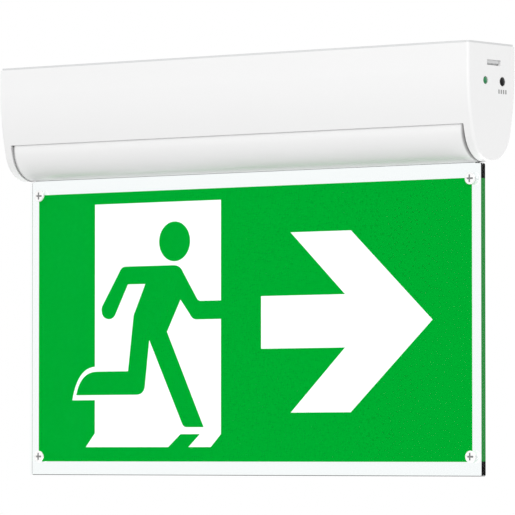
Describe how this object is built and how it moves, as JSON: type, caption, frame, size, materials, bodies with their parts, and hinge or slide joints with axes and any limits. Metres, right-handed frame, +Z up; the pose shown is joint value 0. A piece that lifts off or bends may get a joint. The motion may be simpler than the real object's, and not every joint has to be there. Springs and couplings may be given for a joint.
{
  "type": "emergency exit light",
  "caption": "Ceiling-mounted emergency exit light: slim white housing with a swivelling barrel that carries an edge-lit clear panel with a running-figure legend.",
  "frame": {"origin": "centre of the mounting base's top face, which lies on the ceiling", "axes": "+X along the housing to the right seen from the front, -Y towards the front face, +Z up into the ceiling"},
  "size_m": [0.3266, 0.043, 0.2297],
  "materials": {
    "housing_plastic": "smooth moulded white",
    "base_plastic": "moulded light grey",
    "barrel_plastic": "smooth moulded white",
    "clear_acrylic": "polished clear sheet",
    "legend_print": "green print on clear film",
    "white_nylon": "white nylon screws and nuts",
    "zinc_screw": "zinc plated",
    "circuit_board": "green solder mask",
    "white_board": "white solder mask",
    "lamp_resin": "phosphor resin",
    "socket_nylon": "natural nylon",
    "capacitor_can": "sleeved can",
    "transformer_core": "ferrite with tape",
    "cell_sleeve": "yellow shrink sleeve over cells",
    "terminal_plastic": "moulded light grey",
    "black_plastic": "moulded black",
    "green_lens": "clear green resin",
    "red_sheath": "red cable sheath",
    "white_sheath": "white cable sheath",
    "bush_plastic": "acetal",
    "washer_rubber": "matt"
  },
  "bodies": {
    "housing": {"housing_cover": "housing_plastic", "mounting_base": "base_plastic", "pivot_bush_left": "bush_plastic", "pivot_bush_right": "bush_plastic", "friction_washer_left": "washer_rubber", "friction_washer_right": "washer_rubber", "driver_board": "circuit_board", "board_screws": "zinc_screw", "transformer": "transformer_core", "capacitor_input": "capacitor_can", "capacitor_output": "capacitor_can", "supply_socket": "socket_nylon", "battery_socket": "socket_nylon", "lamp_socket": "socket_nylon", "test_switch": "black_plastic", "indicator_lamp": "green_lens", "indicator_holder": "black_plastic", "battery_pack": "cell_sleeve", "terminal_block": "terminal_plastic", "terminal_screws": "zinc_screw", "lamp_lead": "white_sheath", "battery_lead": "red_sheath", "supply_lead": "white_sheath"},
    "panel": {"barrel_front": "barrel_plastic", "barrel_rear": "barrel_plastic", "clamp_screws": "zinc_screw", "lamp_board": "white_board", "lamp_packages": "lamp_resin", "lamp_plug": "socket_nylon", "panel_front": "clear_acrylic", "panel_rear": "clear_acrylic", "legend_film": "legend_print", "corner_screws": "white_nylon", "corner_nuts": "white_nylon"},
    "button": {"test_button": "black_plastic"}
  },
  "joints": [
    {"name": "panel_swivel", "type": "hinge", "parent": "housing", "child": "panel", "pos_m": [0, 0, -0.04595], "axis": [1, 0, 0], "range_deg": [-90, 90]},
    {"name": "test_button_press", "type": "slide", "parent": "housing", "child": "button", "axis": [1, 0, 0], "range_m": [-0.0008, 0], "stiffness_N_per_m": 400, "springref_m": 0.001}
  ]
}
